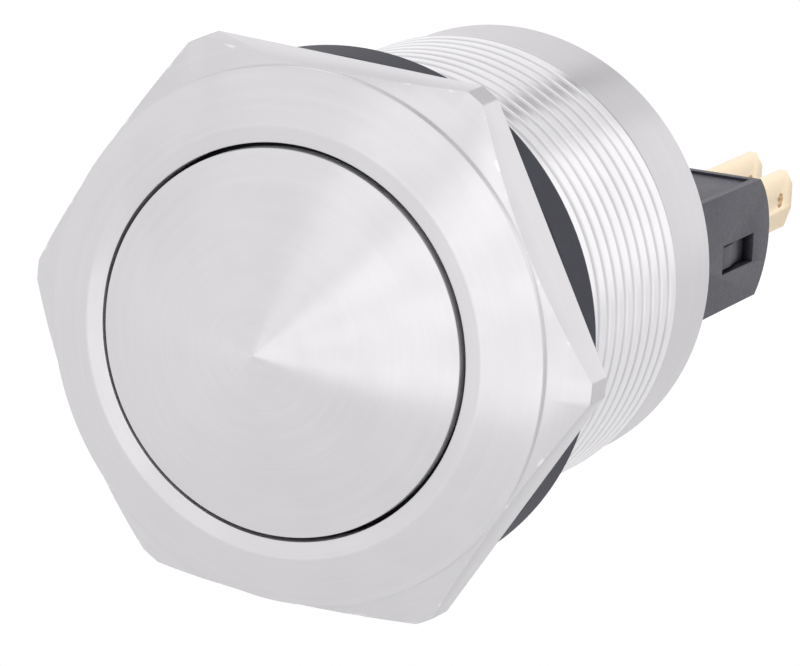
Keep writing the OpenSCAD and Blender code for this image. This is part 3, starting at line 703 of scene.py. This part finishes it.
# Switch carrier: a dark moulded plate with a seal groove, held in the barrel by
# the retaining ring; its neck and two snap arms hold the switch.
def broken_edges(node_name, name, width):
    """A piece with a CAD node's own shape, its sharp edges broken as moulding or stamping leaves them."""
    deselect()
    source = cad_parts[node_name]
    piece = source.copy()
    piece.data = source.data.copy()
    piece.name = piece.data.name = name
    bpy.context.scene.collection.objects.link(piece)
    piece.select_set(True)
    bpy.context.view_layer.objects.active = piece
    bpy.ops.object.mode_set(mode="EDIT")
    bpy.ops.mesh.select_all(action="SELECT")
    bpy.ops.mesh.remove_doubles(threshold=MM / 500)
    bpy.ops.mesh.dissolve_limited(angle_limit=math.radians(1.0))
    bpy.ops.mesh.select_all(action="SELECT")
    bpy.ops.mesh.normals_make_consistent(inside=False)
    bpy.ops.object.mode_set(mode="OBJECT")
    apply_modifier(
        piece, "BEVEL", width=width * MM, segments=2, limit_method="ANGLE", angle_limit=math.radians(28),
        use_clamp_overlap=True, harden_normals=False,
    )
    smooth(piece, 40)
    piece.parent = None
    return piece


carrier = broken_edges("switch_carrier", "carrier_body", 0.1)
carrier_plastic = moulded("carrier_plastic", (0.04, 0.04, 0.05, 1.0), (0.09, 0.09, 0.11, 1.0), 0.42)
dress(carrier, carrier_plastic)
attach(carrier, "root")
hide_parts("switch_carrier")


# Retaining ring: stamped spring steel with two eyes for the pliers, sprung into
# the groove behind the carrier.
clip = broken_edges("retaining_ring", "clip_ring", 0.08)
dress(clip, plain_metal("clip_steel", (0.4, 0.4, 0.42, 1.0), (0.22, 0.22, 0.24, 1.0), 0.3, (1.5, 8.0, 1.5)))
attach(clip, "root")
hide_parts("retaining_ring")


# Switch case and cover: dark grey-blue plastic with a drafted body, a bowed
# rear, and latch windows in both ends; the cover is set in flush on top.
case_plastic = moulded("case_plastic", (0.03, 0.03, 0.042, 1.0), (0.07, 0.07, 0.09, 1.0), 0.42)
for node_name, name, width in (("switch_case", "case_body", 0.14), ("switch_cover", "case_cover", 0.08)):
    moulding = broken_edges(node_name, name, width)
    dress(moulding, case_plastic)
    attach(moulding, "root")
    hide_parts(node_name)


# Cover screws: small plated steel screws with flat heads, sunk in the cover.
screws = broken_edges("cover_screws", "cover_screw_pair", 0.06)
dress(screws, plain_metal("screw_steel", (0.7, 0.7, 0.71, 1.0), (0.5, 0.5, 0.52, 1.0), 0.25, (6.0, 1.0, 6.0)))
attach(screws, "root")
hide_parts("cover_screws")


# Switch plunger: a small red plastic pin with a collar, which the rod presses.
pin = broken_edges("switch_plunger", "plunger_pin", 0.12)
dress(pin, moulded("plunger_plastic", (0.33, 0.03, 0.025, 1.0), (0.45, 0.06, 0.05, 1.0), 0.35))
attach(pin, "plunger")
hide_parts("switch_plunger")


# Snap blade and its rivet: spring bronze strip, riveted to the common terminal's
# shelf. Its rails carry the moving contact, and the tongue between them gives way
# to the plunger, so rails and tongue are two pieces, each cut across with rows of edges.
BLADE_Y = 25.45
BLADE_Z = 0.2
TURN = math.radians(3)
TONGUE_START, TONGUE_END = -7.1, 6.2
TONGUE_W = 2.4
NOTCH_R = 1.65


def along_blade(x):
    """A point on the blade's middle line, in metres."""
    return (x * math.cos(TURN) * MM, BLADE_Y * MM, (BLADE_Z + x * math.sin(TURN)) * MM)


def more_rows(piece, positions):
    """Cuts rows of edges across a strip, so that it can bend."""
    deselect()
    piece.select_set(True)
    bpy.context.view_layer.objects.active = piece
    bpy.ops.object.mode_set(mode="EDIT")
    for x in positions:
        bpy.ops.mesh.select_all(action="SELECT")
        bpy.ops.mesh.bisect(plane_co=along_blade(x), plane_no=(math.cos(TURN), 0, math.sin(TURN)))
    bpy.ops.object.mode_set(mode="OBJECT")


bronze = plain_metal("blade_bronze", (0.72, 0.45, 0.25, 1.0), (0.5, 0.3, 0.16, 1.0), 0.22, (0.6, 3.0, 6.0))
strips = []
for name, operation, rows, body, start, end in (
    ("blade_rails", "DIFFERENCE", [-5, -3, -1, 1, 3, 5], "contact", -6.0, 6.5),
    ("blade_tongue", "INTERSECT", [5.2, 4.4, 3.6, 2.8, 2.0, 1.2], "plunger", 8.8, 1.6),
):
    strip = broken_edges("moving_blade", name, 0.04)
    deselect()
    bpy.ops.mesh.primitive_cube_add(
        size=MM, location=along_blade((TONGUE_START + TONGUE_END) / 2), rotation=(0, -TURN, 0),
        scale=(TONGUE_END - TONGUE_START, 3, TONGUE_W),
    )
    cutter = bpy.context.object
    bpy.ops.object.transform_apply(location=True, rotation=True, scale=True)
    carve(strip, cutter, operation)
    if name == "blade_rails":
        deselect()
        bpy.ops.mesh.primitive_cylinder_add(
            vertices=48, radius=NOTCH_R * MM, depth=3 * MM,
            location=(0, BLADE_Y * MM, 0), rotation=(math.pi / 2, 0, 0),
        )
        carve(strip, bpy.context.object, "DIFFERENCE")
    more_rows(strip, rows)
    smooth(strip, 40)
    dress(strip, bronze)
    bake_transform(strip)
    strips.append(strip)
for strip in strips:
    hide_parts("moving_blade")
rivet = broken_edges("blade_rivet", "snap_rivet", 0.04)
dress(rivet, bronze)
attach(rivet, "root")
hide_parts("blade_rivet")


# Contacts: silver rivets headed into the blade and into both fixed terminals.
silver = plain_metal("contact_silver", (0.86, 0.85, 0.82, 1.0), (0.66, 0.65, 0.62, 1.0), 0.2, (3.0, 3.0, 3.0))
for node_name, name, body in (
    ("moving_contact", "blade_contact", "contact"), ("closed_contact", "front_contact", "root"),
    ("open_contact", "rear_contact", "root"),
):
    part = broken_edges(node_name, name, 0.1)
    dress(part, silver)
    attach(part, body)
    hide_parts(node_name)


# Terminals: brass strip, stamped, bent and flashed pale gold, with chamfered
# tips and a small hole near the end of each tab.
brass = plain_metal("tab_brass", (0.86, 0.72, 0.53, 1.0), (0.82, 0.67, 0.47, 1.0), 0.3, (12.0, 2.0, 8.0))
for node_name, name in (
    ("common_terminal", "common_tab"), ("closed_terminal", "closed_tab"), ("open_terminal", "open_tab"),
):
    part = broken_edges(node_name, name, 0.09)
    dress(part, brass)
    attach(part, "root")
    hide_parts(node_name)


# Floor: a plain pale sheet well below the part, which takes its soft shadow.
FLOOR_Z = -0.065
FLOOR_SIZE = 1.5
FLOOR_MIDDLE = 0.63
deselect()
bpy.ops.mesh.primitive_plane_add(size=FLOOR_SIZE, location=(0, FLOOR_MIDDLE, FLOOR_Z))
floor = bpy.context.object
floor.name = "pale_floor"
bpy.ops.object.transform_apply(location=True)
bpy.ops.object.mode_set(mode="EDIT")
bpy.ops.mesh.subdivide(number_cuts=3)
bpy.ops.object.mode_set(mode="OBJECT")
paper, tree, shader = finish_of("floor_paper")
place = put(tree, "ShaderNodeTexCoord").outputs["Object"]
fibres = put(tree, "ShaderNodeTexNoise", {"Vector": place, "Scale": 12.0, "Detail": 3.0}).outputs[0]
shade = blend_colour(tree, ramp(tree, fibres, 0.3, 0.7), (0.86, 0.86, 0.86, 1.0), (0.88, 0.88, 0.88, 1.0))
tree.links.new(shade, shader.inputs["Base Color"])
shader.inputs["Roughness"].default_value = 0.9
shader.inputs["Specular IOR Level"].default_value = 0.1
glow = put(tree, "ShaderNodeEmission", {"Color": (1.0, 1.0, 1.0, 1.0), "Strength": 0.22})
lit = put(tree, "ShaderNodeAddShader", {0: shader.outputs[0], 1: glow.outputs[0]})


def looked_at(tree):
    """1 for the rays that see a surface, straight, mirrored or through glass, and 0 for the others."""
    rays = put(tree, "ShaderNodeLightPath").outputs
    bent = reckon(tree, "MAXIMUM", rays["Is Glossy Ray"], rays["Is Transmission Ray"])
    return reckon(tree, "MAXIMUM", rays["Is Camera Ray"], bent)


choice = put(tree, "ShaderNodeMixShader", {0: looked_at(tree), 1: shader.outputs[0], 2: lit.outputs[0]})
tree.links.new(choice.outputs[0], tree.nodes["Material Output"].inputs["Surface"])
dress(floor, paper)


# Studio: a plain white tent and a soft lamp at the right. Brighter sheets in front
# and behind, and one dark slit, stand where turned steel shows them as fans.
world = bpy.data.worlds.new("white_tent")
bpy.context.scene.world = world
world.use_nodes = True
tree = world.node_tree
backdrop = tree.nodes["Background"]
way = put(tree, "ShaderNodeTexCoord").outputs["Generated"]
TO_CAMERA = Vector((0.408, -0.873, 0.267))


def towards(direction):
    """How far a ray of light comes from a direction, from -1 to 1."""
    unit = Vector(direction).normalized()
    return put(tree, "ShaderNodeVectorMath", {0: way, 1: unit}, operation="DOT_PRODUCT").outputs["Value"]


def sheet(strength, *sides):
    """A lit sheet of the tent, between sides given as (direction, dark at, lit at)."""
    lit = strength
    for direction, dark_at, lit_at in sides:
        lit = reckon(tree, "MULTIPLY", lit, ramp(tree, towards(direction), dark_at, lit_at))
    return lit


def fan(strength, low, high, edge, *sides):
    """A sheet that turned steel shows as a bright fan between two angles round the button."""
    for angle, turn_round in ((low, 1), (high, -1)):
        square = Vector((-math.sin(math.radians(angle)), 0.0, math.cos(math.radians(angle)))) * turn_round
        thrown = -TO_CAMERA.dot(square)
        sides += ((square, thrown - edge, thrown + edge),)
    return sheet(strength, *sides)


ahead = ((0.0, -1.0, 0.0), 0.3, 0.5)
rightward = ((0.84, 0.0, 0.54), -0.5, -0.25)
behind = ((0.0, 1.0, 0.0), 0.3, 0.6)
white = 1.0
for share in (
    sheet(0.14, ((0.0, 0.0, 1.0), -0.36, -0.28), ((0.0, -1.0, 0.0), 0.1, 0.4)),
    fan(0.26, -9, 50, 0.03, ahead, rightward),
    fan(0.12, -9, 5, 0.02, ahead, rightward),
    fan(0.14, 17, 28, 0.02, ahead, rightward),
    fan(0.12, 38, 49, 0.02, ahead, rightward),
    fan(0.2, 57, 78, 0.03, ahead, rightward),
    fan(0.5, 0, 48, 0.05, behind),
    sheet(0.35, ((-0.4, 0.85, 0.35), 0.86, 0.97)),
    fan(-0.85, 61, 67, 0.03, behind, ((0.0, 0.0, 1.0), 0.2, 0.35)),
):
    white = reckon(tree, "ADD", white, share)
shown = put(tree, "ShaderNodeMix", {0: looked_at(tree), 2: 0.93, 3: white}, data_type="FLOAT")
tree.links.new(shown.outputs[0], backdrop.inputs["Strength"])
backdrop.inputs["Color"].default_value = (1.0, 0.995, 1.0, 1.0)

bpy.ops.object.light_add(type="AREA", location=(0.45, -0.75, 0.55))
key = bpy.context.object
key.name = "soft_key"
key.data.shape = "DISK"
key.data.size = 0.5
key.data.energy = 0.1
key.rotation_euler = (-key.location).to_track_quat("-Z", "Y").to_euler()


# Camera: a long lens from the front right and above, turned a little clockwise.
AIM = Vector((5.71, -1.87, -0.13)) * MM
AZIMUTH, ELEVATION, ROLL = math.radians(25.07), math.radians(15.46), math.radians(5.54)
DISTANCE = 0.6698
LENS = 360
level = math.cos(ELEVATION)
back = Vector((math.sin(AZIMUTH) * level, -math.cos(AZIMUTH) * level, math.sin(ELEVATION)))
bpy.ops.object.camera_add(location=AIM + back * DISTANCE)
camera = bpy.context.object
camera.name = "photo_camera"
camera.rotation_mode = "QUATERNION"
camera.rotation_quaternion = (-back).to_track_quat("-Z", "Y") @ Quaternion((0, 0, 1), ROLL)
camera.data.sensor_width = 36
camera.data.lens = LENS
bpy.context.scene.camera = camera
bpy.context.scene.view_settings.view_transform = "Standard"
